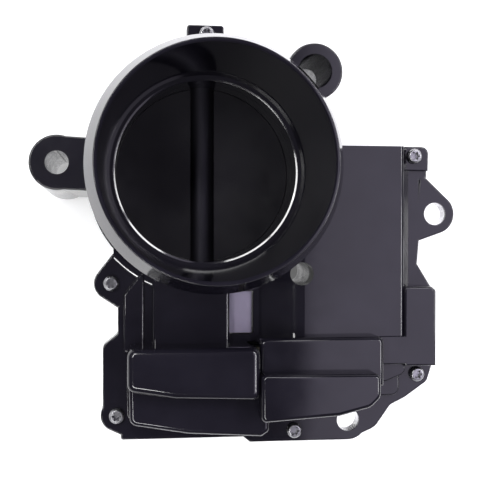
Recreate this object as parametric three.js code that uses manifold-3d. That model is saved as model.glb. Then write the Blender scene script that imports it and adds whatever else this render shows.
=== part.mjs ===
// Electronic throttle body in two glossy plastic housings. The front housing carries the inlet tube and the
// motor and gear bulges; six screws hold it on the rear body, which carries the throttle bore, the manifold
// face with its bolt ears, the motor chamber and the gear tray.
// Millimetres. +Z runs along the bore from the manifold face (z = 0) to the inlet mouth, and the throttle
// shaft lies along Y. The parts are laid out around the bore axis, and the group is centred at the end.
import * as THREE from "three";
import { mergeVertices } from "three/addons/utils/BufferGeometryUtils.js";
import Module from "manifold-3d";

const wasm = await Module();
wasm.setup();

// ---- Driving dimensions

const GAP = 0.3; // free space left between neighbouring pieces
const HEIGHT = 88; // manifold face to inlet mouth
const SPLIT_Z = 43; // joint between the two housings
const FLANGE_TOP = 46;
const FLANGE_BOTTOM = 40.2;
const WALL = 2.2;

const BORE_R = 28;
const BORE_WALL = 3.5;
const BORE_TOP = 49; // where the inlet cone meets the bore
const MOUTH_R = 32.1;
const LIP_R = 33.2;
const BEAD_R = 36;
const BEAD_Z = 79.6;
const TUBE_R = 34.6; // inlet tube below its bead
const COLLAR_R = 40; // foot of the hollow fillet between the tube and the flange
const COLLAR_TOP = 52;

const SHAFT_Z = 32;
const SHAFT_R = 4;
const PLATE_R = 27.6;
const PLATE_THICKNESS = 2;
const PLATE_SLOT = 2.6;
const PLATE_SLOT_REACH = 27.9; // half the length of the shaft's slot
const LOWER_BEARING_R = 7;
const SPRING_R = 6.5;
const SPRING_WIRE_R = 0.6;
const SPRING_TURNS = 5;
const SPRING_Y = [-52.4, -43.4];
const SPRING_CHAMBER_R = 7.5;
const SPRING_CHAMBER_WALL = 1.7;

// Gears: module, tooth counts, and where each pair lies along the shaft.
const MODULE = 0.8;
const SECTOR_TEETH = 62;
const IDLER_SMALL_TEETH = 17;
const IDLER_LARGE_TEETH = 40;
const PINION_TEETH = 10;
const THROTTLE_TRAVEL = 84;
const SECTOR_Y = [-61.5, -55.5];
const IDLER_LARGE_Y = [-67.8, -62.8];
const pitchRadius = (teeth) => (MODULE * teeth) / 2;

const SHAFT_AXIS = [0, SHAFT_Z];
const IDLER_AXIS = axisBeside(
  SHAFT_AXIS,
  30.7,
  pitchRadius(SECTOR_TEETH) + pitchRadius(IDLER_SMALL_TEETH),
  1,
);
const MOTOR_AXIS = axisBeside(
  IDLER_AXIS,
  50.6,
  pitchRadius(IDLER_LARGE_TEETH) + pitchRadius(PINION_TEETH),
  -1,
);
const MOTOR_R = 11.6;
const MOTOR_Y = [-52, 3.5];
const MOTOR_CLEARANCE = 0.4;
const MOTOR_WELL_X = [38.6, 62.6];
const MOTOR_ROOF_TOP = MOTOR_AXIS[1] + MOTOR_R + MOTOR_CLEARANCE + WALL;
const MOTOR_ROOF_Y = [-56, 8.4];

// Bolt ears round the bore, and the two lugs and six screws on the split flange.
const EAR_TOP = 50;
const EAR_R = 8.4;
const EAR_BASE_R = 9.3;
const UPPER_EAR_R = 8.8;
const UPPER_EAR_BASE_R = 9.5;
const BOLT_HOLE_R = 3.6;
const SLEEVE_R = 4.7;
const SLEEVE_LIP = 0.6; // plastic left over the end of each sleeve
const DEEP_SLEEVE_TOP = 34; // the upper right ear's sleeve, at the foot of a tapering recess
const RECESS_R = 5.4;
const EAR_LEFT = [-45.4, 2.4];
const EAR_UPPER_RIGHT = [34.1, 31.7];
const BOSS_LOWER_RIGHT = [29.7, -31.6];
const BOSS_SLEEVE_BOTTOM = 24;
const LUG_RIGHT = [74.2, -12.7];
const LUG_BOTTOM = [45.6, -78.4];
const LUG_R = 6.4;
const SCREWS = [
  [-29.2, -34.5],
  [-27.5, -75.4],
  [66.6, 5.6],
  [68, -64.1],
  [28.1, -81.2],
  [0.3, 43],
];
const SCREW_HEAD_R = 2.35;
const SCREW_R = 1.4;

// ---- Materials

const finish = (color, roughness, metalness) =>
  new THREE.MeshStandardMaterial({ color, roughness, metalness });
const glossBlack = finish(0x17171b, 0.22, 0);
const satinBlack = finish(0x202024, 0.45, 0);
const steel = finish(0xb9bcc0, 0.32, 1);
const aluminium = finish(0xc8cacc, 0.4, 1);
const brass = finish(0xc79a52, 0.35, 1);
const rubber = finish(0x1a1a1a, 0.85, 0);
const nylon = finish(0xd9d4c4, 0.55, 0);
const boardGreen = finish(0x1f5a38, 0.5, 0);
const coatedGrey = finish(0x6e687c, 0.5, 0);

// ---- Solids from three.js geometry

function solid(geometry) {
  geometry.deleteAttribute("normal");
  geometry.deleteAttribute("uv");
  const merged = mergeVertices(geometry, 1e-4);
  return new wasm.Manifold(
    new wasm.Mesh({
      numProp: 3,
      vertProperties: merged.attributes.position.array,
      triVerts: new Uint32Array(merged.index.array),
    }),
  );
}

function union(pieces) {
  return pieces.reduce((whole, piece) => whole.add(piece));
}

function cut(body, pieces) {
  return pieces.reduce((left, piece) => left.subtract(piece), body);
}

function meshOf(name, manifold, material) {
  const made = manifold.getMesh();
  const geometry = new THREE.BufferGeometry();
  geometry.setAttribute("position", new THREE.BufferAttribute(new Float32Array(made.vertProperties), 3));
  geometry.setIndex(new THREE.BufferAttribute(new Uint32Array(made.triVerts), 1));
  geometry.computeVertexNormals();
  const mesh = new THREE.Mesh(geometry, material);
  mesh.name = name;
  return mesh;
}

// An outline in plan, extruded from z0 up to z1.
function prism(shape, z0, z1) {
  const depth = z1 - z0;
  const geometry = new THREE.ExtrudeGeometry(shape, { depth, bevelEnabled: false, curveSegments: 4 });
  geometry.translate(0, 0, z0);
  return solid(geometry);
}

// An outline in the XZ plane, extruded from y0 to y1.
function prismAlongY(shape, y0, y1) {
  const depth = y1 - y0;
  const geometry = new THREE.ExtrudeGeometry(shape, { depth, bevelEnabled: false, curveSegments: 4 });
  geometry.rotateX(Math.PI / 2);
  geometry.translate(0, y1, 0);
  return solid(geometry);
}

function box(x0, x1, y0, y1, z0, z1) {
  const geometry = new THREE.BoxGeometry(x1 - x0, y1 - y0, z1 - z0);
  geometry.translate((x0 + x1) / 2, (y0 + y1) / 2, (z0 + z1) / 2);
  return solid(geometry);
}

// A cone or cylinder standing on z0, with its own radius at each end.
function coneZ([x, y], z0, z1, bottomR, topR, sides = 24) {
  const geometry = new THREE.CylinderGeometry(topR, bottomR, z1 - z0, sides);
  geometry.rotateX(Math.PI / 2);
  geometry.rotateZ(Math.PI / 2);
  geometry.translate(x, y, (z0 + z1) / 2);
  return solid(geometry);
}

const rodZ = (centre, z0, z1, radius, sides = 24) => coneZ(centre, z0, z1, radius, radius, sides);

function rodY([x, z], y0, y1, radius, sides = 24) {
  const geometry = new THREE.CylinderGeometry(radius, radius, y1 - y0, sides);
  geometry.translate(x, (y0 + y1) / 2, z);
  return solid(geometry);
}

// A closed [radius, height] profile turned about the bore axis.
function turned(profile, sides) {
  const points = [...profile, profile[0]].map(([r, z]) => new THREE.Vector2(r, z));
  const geometry = new THREE.LatheGeometry(points, sides);
  geometry.rotateX(Math.PI / 2);
  const made = solid(geometry);
  return made.volume() > 0 ? made : solid(flipped(geometry));
}

function flipped(geometry) {
  const index = geometry.index.array;
  for (let i = 0; i < index.length; i += 3) [index[i + 1], index[i + 2]] = [index[i + 2], index[i + 1]];
  return geometry;
}

const ringZ = (centre, z0, z1, outerR, innerR, sides = 24) =>
  rodZ(centre, z0, z1, outerR, sides).subtract(rodZ(centre, z0 - 1, z1 + 1, innerR, sides));

const ringY = (axis, y0, y1, outerR, innerR, sides = 24) =>
  rodY(axis, y0, y1, outerR, sides).subtract(rodY(axis, y0 - 1, y1 + 1, innerR, sides));

// ---- Outlines

// The axis at a given x whose distance from another axis is known; side picks above (1) or below (-1).
function axisBeside([x0, z0], x, distance, side) {
  return [x, z0 + side * Math.sqrt(distance ** 2 - (x - x0) ** 2)];
}

// A polygon whose corners are rounded; a corner is [x, y] or [x, y, its own radius].
function rounded(corners, radius = 0) {
  const shape = new THREE.Shape();
  corners.forEach(([x, y, own], i) => {
    const [px, py] = corners[(i + corners.length - 1) % corners.length];
    const [nx, ny] = corners[(i + 1) % corners.length];
    const r = own ?? radius;
    const before = new THREE.Vector2(px - x, py - y);
    const after = new THREE.Vector2(nx - x, ny - y);
    const half = Math.acos(before.dot(after) / (before.length() * after.length())) / 2;
    const back = r > 0 ? Math.min(r / Math.tan(half), before.length() * 0.48, after.length() * 0.48) : 0;
    before.setLength(back);
    after.setLength(back);
    if (i === 0) shape.moveTo(x + before.x, y + before.y);
    else shape.lineTo(x + before.x, y + before.y);
    if (back > 0) shape.quadraticCurveTo(x, y, x + after.x, y + after.y);
  });
  shape.closePath();
  return shape;
}

const rectangle = (x0, x1, y0, y1, radius = 0) =>
  rounded(
    [
      [x0, y0],
      [x1, y0],
      [x1, y1],
      [x0, y1],
    ],
    radius,
  );

// Moves every edge of a counter-clockwise outline outwards by the same distance.
function offset(corners, distance) {
  return corners.map(([x, y], i) => {
    const [px, py] = corners[(i + corners.length - 1) % corners.length];
    const [nx, ny] = corners[(i + 1) % corners.length];
    const inward = new THREE.Vector2(x - px, y - py).normalize();
    const outward = new THREE.Vector2(nx - x, ny - y).normalize();
    const normal = new THREE.Vector2(inward.y + outward.y, -inward.x - outward.x);
    const stretch = (2 * distance) / normal.lengthSq();
    return [x + normal.x * stretch, y + normal.y * stretch];
  });
}

// A lug: a round end about a centre, with straight sides running to the points from and to.
function lug([cx, cy], radius, from, to) {
  const reach = ([x, y], side) => {
    const towards = Math.atan2(y - cy, x - cx);
    return towards + side * Math.acos(radius / Math.hypot(x - cx, y - cy));
  };
  const start = reach(from, 1);
  const end = reach(to, -1);
  const shape = new THREE.Shape();
  shape.moveTo(...from);
  shape.lineTo(cx + radius * Math.cos(start), cy + radius * Math.sin(start));
  shape.absarc(cx, cy, radius, start, end, false);
  shape.lineTo(...to);
  shape.closePath();
  return shape;
}

// The split flange's main outline, without its ears and lugs.
const FLANGE = [
  [-12, -20],
  [-28.5, -24],
  [-27.1, -40.5],
  [-27.1, -50.1, 1.5],
  [-31.7, -53.7, 2],
  [-31.7, -78.6, 3],
  [-26.2, -81.4],
  [-26.2, -83, 0.8],
  [12, -83],
  [14.1, -84.7, 0.8],
  [45.6, -84.8],
  [54.5, -81, 6],
  [59.5, -74, 3],
  [64.4, -71.6, 2],
  [71.6, -66.6, 2.5],
  [73.1, -62],
  [73.3, -36.8, 1.2],
  [68.3, -28.8],
  [69, -21.1],
  [69, -2],
  [71.4, -1],
  [71.6, 8.7, 2.2],
  [0, 8.7],
];
const TOP_EAR = { halfWidth: 5.8, top: 46 };

// The gear tray's hollow in plan, and the whole hollow at the joint with the motor chamber added.
const TRAY_WALLS = [
  [-23, -55],
  [-23, -80],
  [16.5, -80],
  [16.5, -72],
  [40, -71],
  [51, -68.6],
  [60, -68.6],
];
const TRAY = [...TRAY_WALLS, [60, -55]];
const HOLLOW = [
  ...TRAY_WALLS,
  [60, -57],
  [MOTOR_WELL_X[1], -55],
  [MOTOR_WELL_X[1], 5],
  [MOTOR_WELL_X[0], 5],
  [MOTOR_WELL_X[0], -55],
];
const TRAY_WALL = 2.4;

function flangeSolids(z0, z1) {
  const [leftEar, lowLeftEar] = SCREWS;
  return [
    prism(rounded(FLANGE, 0), z0, z1),
    prism(lug(leftEar, 5.2, [-26, -22], [-26.5, -42.5]), z0, z1),
    prism(lug(lowLeftEar, 4.9, [-26, -68], [-25, -82]), z0, z1),
    prism(lug(LUG_RIGHT, LUG_R, [67, -22], [69.5, 0.5]), z0, z1),
    rodZ(LUG_BOTTOM, z0, z1, LUG_R),
    prism(rectangle(-TOP_EAR.halfWidth, TOP_EAR.halfWidth, 26, TOP_EAR.top, 0.7), z0, z1),
  ];
}

// ---- Front housing

// The raised blocks over the gears and the connector: outline, top height.
const BLOCKS = {
  sector: {
    outline: [
      [-24.3, -53, 2.5],
      [-24.3, -65.6, 1.2],
      [-10, -68],
      [15.2, -68.9, 1],
      [15.2, -53, 1],
    ],
    top: 62.5,
  },
  sensor: {
    outline: [
      [-24, -60],
      [-23.6, -76.6, 2.5],
      [-6, -79.6],
      [16.4, -81, 2],
      [18.9, -79.4, 1],
      [18.9, -60],
    ],
    top: 56,
  },
  idler: {
    outline: [
      [15.2, -61, 0.8],
      [15.2, -75.3, 1.5],
      [38.8, -73.8, 4],
      [48.5, -71.4, 4],
      [51.6, -68.4, 3],
      [51.6, -61.4, 1],
    ],
    top: 64,
  },
  idlerShoulder: {
    outline: [
      [15.6, -50.8, 1],
      [15.6, -66],
      [54.2, -66],
      [54.2, -50.8, 1],
    ],
    top: 58,
  },
  pinion: {
    outline: [
      [50, -51.2],
      [50, -60.2],
      [68.3, -60.2, 2],
      [68.3, -51.2, 1],
    ],
    top: 52,
  },
  pinionStep: {
    outline: [
      [50, -56],
      [50, -66.2],
      [57, -65.8],
      [63.2, -63.4, 2.5],
      [63.2, -56],
    ],
    top: 50,
  },
  pinionFoot: {
    outline: [
      [50, -60],
      [50, -70.6],
      [61.8, -70.6, 2.5],
      [61.8, -60],
    ],
    top: 48,
  },
  connector: {
    outline: [
      [62.4, -35.8, 0.8],
      [62.4, -60.8],
      [72.6, -60.8],
      [72.6, -37, 1],
      [71.2, -35.8, 0.8],
    ],
    top: 52,
  },
  column: {
    outline: [
      [-16.6, -18],
      [-16.6, -56],
      [7.4, -56],
      [7.4, -18],
    ],
    top: 49,
  },
  columnStep: {
    outline: [
      [-25.4, -38],
      [-25.4, -56],
      [-19, -56],
      [-19, -30],
    ],
    top: 47.2,
  },
  screwTab: {
    outline: [
      [61.8, 1],
      [71.4, 1],
      [71.6, 8.7, 2.2],
      [61.8, 8.7],
    ],
    top: 47.6,
  },
};
const GAP_SLOT = [7.4, 15.2, -50.6, -37];

// The gap's sides below the joint, in the XZ plane: its right wall leans in towards the manifold face, and
// its left side steps over the spring chamber.
const GAP_LEAN = 1.9;
const GAP_WALL = [
  [GAP_SLOT[1] - GAP_LEAN, 3],
  [GAP_SLOT[1] + 2.2, 3],
  [GAP_SLOT[1] + 2.2, SPLIT_Z - GAP / 2],
  [GAP_SLOT[1], SPLIT_Z - GAP / 2],
];
const GAP_PROFILE = [
  [SPRING_CHAMBER_R + 2, -1],
  [GAP_SLOT[1] - GAP_LEAN - 0.2, -1],
  [GAP_SLOT[1], SPLIT_Z - GAP / 2],
  [GAP_SLOT[1], 60],
  [GAP_SLOT[0], 60],
  [GAP_SLOT[0], FLANGE_BOTTOM - 0.2],
  [SPRING_CHAMBER_R + 2, FLANGE_BOTTOM - 0.2],
];

// The flat roof over the motor, in the XZ plane: a steep right flank and a long soft slope on the left.
const MOTOR_ROOF_BASE = FLANGE_TOP - WALL - 0.2;
const MOTOR_ROOF = [
  [66, MOTOR_ROOF_BASE],
  [65.3, FLANGE_TOP],
  [61.9, MOTOR_ROOF_TOP, 1.5],
  [28.5, MOTOR_ROOF_TOP, 9],
  [17, FLANGE_TOP + 0.2],
  [16, MOTOR_ROOF_BASE],
];

// The arched space between the motor and its roof.
function motorArch() {
  const [x, z] = MOTOR_AXIS;
  const crown = z + MOTOR_R + MOTOR_CLEARANCE;
  const half = (MOTOR_WELL_X[1] - MOTOR_WELL_X[0]) / 2 + 0.1;
  const rise = crown - MOTOR_ROOF_BASE;
  const radius = (half ** 2 + rise ** 2) / (2 * rise);
  const sweep = Math.asin(half / radius);
  const shape = new THREE.Shape();
  shape.absarc(x, crown - radius, radius, Math.PI / 2 - sweep, Math.PI / 2 + sweep, false);
  shape.closePath();
  return shape;
}

function frontHousing() {
  const tube = turned(
    [
      [BORE_R - 2, SPLIT_Z + GAP / 2],
      [TUBE_R, SPLIT_Z + GAP / 2],
      [TUBE_R, BEAD_Z - 6],
      [BEAD_R, BEAD_Z - 4],
      [BEAD_R, BEAD_Z],
      [LIP_R, HEIGHT],
      [MOUTH_R, HEIGHT],
      [MOUTH_R - 4, HEIGHT],
    ],
    48,
  );
  const bottom = SPLIT_Z + GAP / 2;
  const plate = union(flangeSolids(bottom, FLANGE_TOP));
  const collar = turned(
    [
      [BORE_R + 1, bottom],
      [COLLAR_R, bottom],
      [COLLAR_R, FLANGE_TOP],
      [37.4, FLANGE_TOP + 1.2],
      [35.6, FLANGE_TOP + 3.2],
      [TUBE_R, COLLAR_TOP],
      [BORE_R + 1, COLLAR_TOP],
    ],
    48,
  ).intersect(prism(rounded(FLANGE), bottom, COLLAR_TOP + 1));
  const blocks = Object.values(BLOCKS).map(({ outline, top }) => prism(rounded(outline), bottom, top));
  const roof = prismAlongY(rounded(MOTOR_ROOF), ...MOTOR_ROOF_Y);
  const outside = union([tube, plate, collar, ...blocks, roof]);

  const inlet = turned(
    [
      [0, HEIGHT + 1],
      [0, SPLIT_Z - 1],
      [BORE_R, SPLIT_Z - 1],
      [BORE_R, BORE_TOP],
      [BORE_R + 0.5, BORE_TOP + 0.9],
      [BORE_R + 1.6, BORE_TOP + 1.4],
      [MOUTH_R, HEIGHT],
      [MOUTH_R, HEIGHT + 1],
    ],
    48,
  );
  const hollow = prism(rounded(HOLLOW, 1), SPLIT_Z - 1, FLANGE_TOP - WALL);
  const gearHollow = prism(
    rounded([
      [-21.6, -74.9],
      [-6, -77.4],
      [14, -78.6],
      [14, -71],
      [40, -70.4],
      [50, -66.6],
      [50, -55.2],
      [-21.6, -55.2],
    ]),
    SPLIT_Z - 1,
    53.5,
  );
  const pinionHollow = box(48, 60, -64.4, -53.4, SPLIT_Z - 1, 47.8);
  const pinionFootHollow = box(48, 59.6, -68.4, -60, SPLIT_Z - 1, 45.8);
  const sectorHollow = box(-21.8, 13, -66.4, -55.2, SPLIT_Z - 1, BLOCKS.sector.top - WALL);
  const idlerHollow = box(17.4, 47, -70, -62.4, SPLIT_Z - 1, BLOCKS.idler.top - WALL);
  const shoulderHollow = box(13, 48, -66, -53, SPLIT_Z - 1, BLOCKS.idlerShoulder.top - WALL);
  const motorHollow = prismAlongY(motorArch(), MOTOR_ROOF_Y[0] - 1, MOTOR_ROOF_Y[1] - 3.4);
  const tabScrew = SCREWS[2];
  const [gapX0, gapX1, gapY0, gapY1] = GAP_SLOT;
  return cut(outside, [
    inlet,
    hollow,
    gearHollow,
    pinionHollow,
    pinionFootHollow,
    sectorHollow,
    idlerHollow,
    shoulderHollow,
    motorHollow,
    prism(rectangle(gapX0, gapX1, gapY0, gapY1, 0.6), 30, 70),
    ...SCREWS.map((centre) => rodZ(centre, 30, 60, SCREW_R + GAP, 12)),
    rodZ(tabScrew, BLOCKS.screwTab.top, 60, SCREW_HEAD_R + 0.8),
    ...[BOSS_LOWER_RIGHT, LUG_RIGHT, LUG_BOTTOM].flatMap((centre) => [
      rodZ(centre, 30, FLANGE_TOP - SLEEVE_LIP, SLEEVE_R + GAP),
      rodZ(centre, 40, 80, BOLT_HOLE_R),
    ]),
  ]);
}

// ---- Rear body

// A bolt ear: a tapering column beside the bore with a web back to the bore wall.
function boltEar([x, y], topR, bottomR, top) {
  const distance = Math.hypot(x, y);
  const web = box(BORE_R + 1, distance, -bottomR + 1.2, bottomR - 1.2, 0, top)
    .rotate([0, 0, (Math.atan2(y, x) * 180) / Math.PI]);
  return coneZ([x, y], 0, top, bottomR, topR, 32).add(web);
}

function rearBody() {
  const top = SPLIT_Z - GAP / 2;
  const outerR = BORE_R + BORE_WALL;
  const motorFloor = MOTOR_AXIS[1] - MOTOR_R - MOTOR_CLEARANCE - TRAY_WALL;
  const ears = union([
    boltEar(EAR_LEFT, EAR_R, EAR_BASE_R, EAR_TOP),
    boltEar(EAR_UPPER_RIGHT, UPPER_EAR_R, UPPER_EAR_BASE_R, EAR_TOP),
  ]).subtract(rodZ([0, 0], top, EAR_TOP + 1, TUBE_R + GAP, 48));
  const outside = union([
    rodZ([0, 0], 0, top, outerR, 48),
    rodZ([0, 0], 0, 7, 38, 48),
    ears,
    rodZ(BOSS_LOWER_RIGHT, 0, top, 6.6),
    box(20, 27, -30, -22, 0, top),
    ...flangeSolids(FLANGE_BOTTOM, top),
    prism(rounded(offset(TRAY, TRAY_WALL), 2), 3, top),
    box(36.2, 65, -56, 7.4, motorFloor, top),
    // Spring chamber between the bore and the gear tray, and the wall beside the gap slot.
    box(-16.6, 7.4, -54, -24, 12, top),
    rodY(SHAFT_AXIS, -54, -26, SPRING_CHAMBER_R + SPRING_CHAMBER_WALL, 32),
    prismAlongY(rounded(GAP_WALL), -54, -26),
    // The free end of the shaft.
    rodY(SHAFT_AXIS, 24, 42, 10.6, 32),
    box(-TOP_EAR.halfWidth, TOP_EAR.halfWidth, 26, 41, SHAFT_Z, top),
    ...SCREWS.map((centre) => rodZ(centre, 31, top, 2.9, 20)),
  ]);

  const motorHollow = union([
    rodY(MOTOR_AXIS, -57, 5, MOTOR_R + MOTOR_CLEARANCE, 32),
    box(...MOTOR_WELL_X, -57, 5, MOTOR_AXIS[1], SPLIT_Z + 1),
  ]);
  const trayHollow = prism(rounded(TRAY, 1.5), 3 + TRAY_WALL, SPLIT_Z + 1);
  const gasketGroove = prism(rounded(offset(HOLLOW, 1.9), 1.5), SPLIT_Z - 1.6, SPLIT_Z + 1).subtract(
    prism(rounded(offset(HOLLOW, 0.5), 1.5), SPLIT_Z - 2, SPLIT_Z + 2),
  );
  const [, , gapY0, gapY1] = GAP_SLOT;
  return cut(outside, [
    rodZ([0, 0], -1, EAR_TOP, BORE_R, 48),
    motorHollow,
    trayHollow,
    gasketGroove,
    ringZ([0, 0], -1, 2.6, 34.8, 32.2, 48),
    prismAlongY(rounded(GAP_PROFILE), gapY0, gapY1),
    // Shaft bores, bearing and seal seats.
    rodY(SHAFT_AXIS, -60, 41, SHAFT_R + GAP),
    rodY(SHAFT_AXIS, 30.2, 43, 8.3, 32),
    rodY(SHAFT_AXIS, -60, -33.8, LOWER_BEARING_R + GAP, 32),
    rodY(SHAFT_AXIS, -60, -42, SPRING_CHAMBER_R, 32),
    rodY(IDLER_AXIS, -72.4, -53.8, 2.3, 20),
    ...SCREWS.map((centre) => rodZ(centre, 33, 60, SCREW_R + GAP, 12)),
    rodZ(EAR_LEFT, -1, EAR_TOP - SLEEVE_LIP, SLEEVE_R + GAP),
    rodZ(EAR_LEFT, 40, 60, BOLT_HOLE_R),
    rodZ(EAR_UPPER_RIGHT, -1, DEEP_SLEEVE_TOP + GAP, SLEEVE_R + GAP),
    coneZ(EAR_UPPER_RIGHT, DEEP_SLEEVE_TOP, EAR_TOP + 0.1, BOLT_HOLE_R, RECESS_R),
    rodZ(BOSS_LOWER_RIGHT, BOSS_SLEEVE_BOTTOM - GAP, 60, SLEEVE_R + GAP),
    rodZ(BOSS_LOWER_RIGHT, -1, BOSS_SLEEVE_BOTTOM + 1, 5.4),
    rodZ(LUG_RIGHT, 30, 60, SLEEVE_R + GAP),
    rodZ(LUG_BOTTOM, 30, 60, SLEEVE_R + GAP),
  ]);
}

// ---- Seals

function housingGasket() {
  const ring = prism(rounded(offset(HOLLOW, 1.6), 1.5), SPLIT_Z - 1.3, SPLIT_Z - 0.2);
  return ring.subtract(prism(rounded(offset(HOLLOW, 0.8), 1.5), SPLIT_Z - 2, SPLIT_Z + 1));
}

const manifoldSeal = () => ringZ([0, 0], 0.2, 2.3, 34.5, 32.5, 48);

// ---- Throttle

const PLATE_SCREW_Y = [-14, 14];

function throttlePlate() {
  const half = PLATE_THICKNESS / 2;
  const disc = rodZ([0, 0], SHAFT_Z - half, SHAFT_Z + half, PLATE_R, 48);
  return cut(
    disc,
    PLATE_SCREW_Y.map((y) => rodZ([0, y], 0, 60, 1.8, 20)),
  );
}

function throttleShaft() {
  const bar = rodY(SHAFT_AXIS, -69.5, 39, SHAFT_R, 32);
  const slot = box(
    -SHAFT_R - 1,
    SHAFT_R + 1,
    -PLATE_SLOT_REACH,
    PLATE_SLOT_REACH,
    SHAFT_Z - PLATE_SLOT / 2,
    SHAFT_Z + PLATE_SLOT / 2,
  );
  const screwHoles = PLATE_SCREW_Y.map((y) => rodZ([0, y], 0, SHAFT_Z + 2, 1.8, 20));
  return cut(bar, [slot, ...screwHoles]);
}

function plateScrew(y) {
  const headTop = SHAFT_Z - SHAFT_R - GAP;
  const head = rodZ([0, y], headTop - 1.4, headTop, 2.6, 24);
  const shank = rodZ([0, y], headTop - 0.1, SHAFT_Z + 1.6, 1.5, 20);
  return head.add(shank);
}

// ---- Gears

// One ring of straight-flanked teeth. The first tooth points along phase, in radians from +X towards +Z.
function gearShape([x, z], teeth, phase, count = teeth) {
  const radius = pitchRadius(teeth);
  const pitch = (2 * Math.PI) / teeth;
  const levels = [
    [-0.3, radius - 1.1 * MODULE],
    [-0.2, radius],
    [-0.11, radius + 0.6 * MODULE],
    [0.11, radius + 0.6 * MODULE],
    [0.2, radius],
    [0.3, radius - 1.1 * MODULE],
  ];
  const points = [];
  for (let tooth = 0; tooth < count; tooth++) {
    for (const [part, r] of levels) {
      const angle = phase + (tooth + part) * pitch;
      points.push(new THREE.Vector2(x + r * Math.cos(angle), z + r * Math.sin(angle)));
    }
  }
  if (count < teeth) points.push(new THREE.Vector2(x, z));
  return new THREE.Shape(points);
}

const angleBetween = ([x0, z0], [x1, z1]) => Math.atan2(z1 - z0, x1 - x0);
const SECTOR_MESH = angleBetween(SHAFT_AXIS, IDLER_AXIS);
const PINION_MESH = angleBetween(IDLER_AXIS, MOTOR_AXIS);

// The toothed sector spans the throttle's travel with a spare tooth or two at each end.
function sectorGear() {
  const [y0, y1] = SECTOR_Y;
  const spare = 1;
  const pitch = (2 * Math.PI) / SECTOR_TEETH;
  const count = Math.ceil(THROTTLE_TRAVEL / (360 / SECTOR_TEETH)) + 2 * spare + 1;
  const wedge = prismAlongY(gearShape(SHAFT_AXIS, SECTOR_TEETH, SECTOR_MESH - spare * pitch, count), y0, y1);
  const hub = rodY(SHAFT_AXIS, y0 - 3, y1 + 0.2, 9.6, 32);
  const middle = SECTOR_MESH + (THROTTLE_TRAVEL * Math.PI) / 360;
  const windows = [-26, 0, 26].map((degrees) => {
    const angle = middle + (degrees * Math.PI) / 180;
    return rodY([16.2 * Math.cos(angle), SHAFT_Z + 16.2 * Math.sin(angle)], y0 - 1, y1 + 1, 2.6, 20);
  });
  return cut(wedge.add(hub), [...windows, rodY(SHAFT_AXIS, y0 - 9, y1 + 9, SHAFT_R + GAP)]);
}

function idlerGear() {
  const smallPhase = SECTOR_MESH + Math.PI + Math.PI / IDLER_SMALL_TEETH;
  const smallTeeth = gearShape(IDLER_AXIS, IDLER_SMALL_TEETH, smallPhase);
  const small = prismAlongY(smallTeeth, IDLER_LARGE_Y[1] - 1, SECTOR_Y[1]);
  const large = prismAlongY(gearShape(IDLER_AXIS, IDLER_LARGE_TEETH, PINION_MESH), ...IDLER_LARGE_Y);
  const rim = ringY(IDLER_AXIS, IDLER_LARGE_Y[0] - 1, IDLER_LARGE_Y[0] + 1.6, 12.6, 5.4, 32);
  return cut(small.add(large), [rim, rodY(IDLER_AXIS, -80, -50, 2.3, 24)]);
}

const idlerPin = () => rodY(IDLER_AXIS, -71.7, -54.2, 2, 24);

// ---- Return spring: a torsion spring wound round the shaft's bush

class Coil extends THREE.Curve {
  getPoint(t) {
    const angle = t * 2 * Math.PI * SPRING_TURNS;
    const y = SPRING_Y[0] + t * (SPRING_Y[1] - SPRING_Y[0]);
    return new THREE.Vector3(SPRING_R * Math.cos(angle), y, SHAFT_Z + SPRING_R * Math.sin(angle));
  }
}

function returnSpring() {
  const wire = new THREE.Shape();
  wire.absarc(0, 0, SPRING_WIRE_R, 0, 2 * Math.PI, false);
  const geometry = new THREE.ExtrudeGeometry(wire, {
    steps: 75,
    extrudePath: new Coil(),
    curveSegments: 3,
    bevelEnabled: false,
  });
  return solid(geometry);
}

// The block in the gap beside the tube that the spring's fixed end bears on.
function springStop() {
  const [x0, x1, y0, y1] = GAP_SLOT;
  const leanRoom = 0.15;
  return box(
    x0 + GAP,
    x1 - GAP - leanRoom,
    y0 + GAP,
    y1 - GAP,
    FLANGE_BOTTOM - 0.2 + GAP,
    FLANGE_TOP - 1.2,
  );
}

// ---- Motor

function motorCan() {
  const [y0, y1] = MOTOR_Y;
  const can = rodY(MOTOR_AXIS, y0, y1, MOTOR_R, 32);
  const flats = [1, -1].map((side) => {
    const edge = MOTOR_AXIS[0] + side * (MOTOR_R - 0.6);
    return box(Math.min(edge, edge + side), Math.max(edge, edge + side), y0 + 6, y1 - 6, 30, 46);
  });
  return cut(can, [
    rodY(MOTOR_AXIS, y0 - 1, y1 - 1.2, MOTOR_R - 1.2, 32),
    rodY(MOTOR_AXIS, y0, y1 + 1, 1.5, 20),
    ...flats,
  ]);
}

function motorEndCap() {
  const y0 = MOTOR_Y[0];
  const cap = rodY(MOTOR_AXIS, y0 - 1.6, y0 - GAP, MOTOR_R - 0.3, 32).add(
    rodY(MOTOR_AXIS, y0 - 1, y0 + 2.2, MOTOR_R - 1.6, 32),
  );
  return cap.add(rodY(MOTOR_AXIS, y0 - 3, y0, 3.2, 24)).subtract(rodY(MOTOR_AXIS, y0 - 5, y0 + 5, 1.5, 20));
}

function motorMagnet(side) {
  const ring = ringY(MOTOR_AXIS, MOTOR_Y[0] + 12, MOTOR_Y[1] - 8, MOTOR_R - 1.5, MOTOR_R - 3.6, 32);
  const [x, z] = MOTOR_AXIS;
  const near = 3;
  const far = 20;
  const half = side > 0 ? [x + near, x + far] : [x - far, x - near];
  return ring.intersect(box(...half, -60, 10, z - far, z + far));
}

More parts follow.
